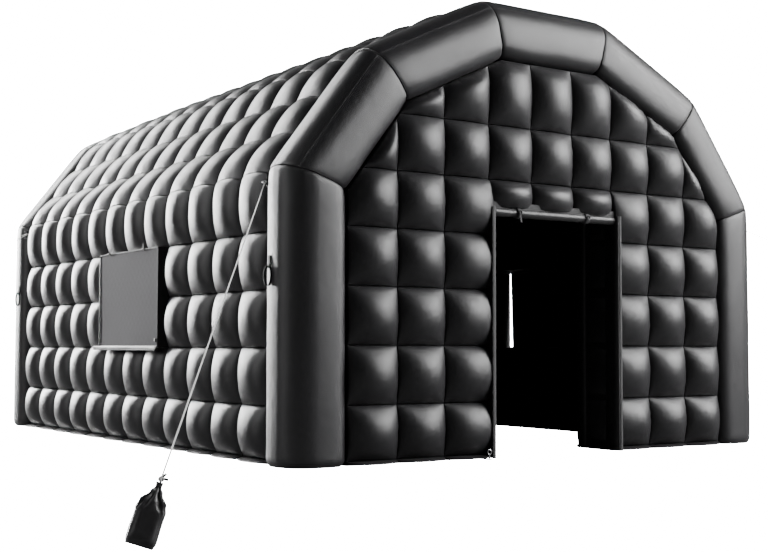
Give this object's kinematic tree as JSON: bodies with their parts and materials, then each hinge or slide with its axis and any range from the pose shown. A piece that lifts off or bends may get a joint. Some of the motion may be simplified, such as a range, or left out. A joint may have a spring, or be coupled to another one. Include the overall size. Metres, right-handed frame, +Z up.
{
  "type": "inflatable party tent",
  "caption": "Black quilted inflatable party tent: cushioned walls and roof between two air-filled arches, open doorway, mesh windows, guy ropes and sandbags.",
  "frame": {"origin": "on the ground under the middle of the tent, half way between the two arches", "axes": "+X to the right seen from the front, +Y from the doorway to the rear wall, +Z up"},
  "size_m": [9.6878, 11.9258, 3.697],
  "materials": {
    "black_cloth": "black coated cloth with a soft sheen",
    "window_mesh": "dark grey matt mesh cloth",
    "white_rope": "white braided cord",
    "bag_cloth": "black woven cloth",
    "steel": "bare zinc-plated wire"
  },
  "bodies": {
    "root": {"front_post_left": "black_cloth", "front_slope_left": "black_cloth", "front_pitch_left": "black_cloth", "front_crown": "black_cloth", "front_pitch_right": "black_cloth", "front_slope_right": "black_cloth", "front_post_right": "black_cloth", "rear_post_left": "black_cloth", "rear_slope_left": "black_cloth", "rear_pitch_left": "black_cloth", "rear_crown": "black_cloth", "rear_pitch_right": "black_cloth", "rear_slope_right": "black_cloth", "rear_post_right": "black_cloth", "left_wall_front": "black_cloth", "left_wall_rear": "black_cloth", "left_wall_below_window": "black_cloth", "left_wall_above_window": "black_cloth", "left_window": "window_mesh", "right_wall_front": "black_cloth", "right_wall_rear": "black_cloth", "right_wall_below_window": "black_cloth", "right_wall_above_window": "black_cloth", "right_window": "window_mesh", "roof_slope_left": "black_cloth", "roof_pitch_left": "black_cloth", "roof_crown": "black_cloth", "roof_pitch_right": "black_cloth", "roof_slope_right": "black_cloth", "front_wall_left": "black_cloth", "front_wall_right": "black_cloth", "front_wall_over_door": "black_cloth", "front_gable": "black_cloth", "rear_wall": "black_cloth", "rear_gable": "black_cloth", "door_curtain": "black_cloth", "door_anchor": "steel", "air_inlet_sleeve": "black_cloth", "guy_rope_front_left": "white_rope", "guy_rope_front_right": "white_rope", "guy_rope_rear_left": "white_rope", "guy_rope_rear_right": "white_rope", "sandbag_front_left": "bag_cloth", "sandbag_front_right": "bag_cloth", "sandbag_rear_left": "bag_cloth", "sandbag_rear_right": "bag_cloth"}
  },
  "joints": []
}
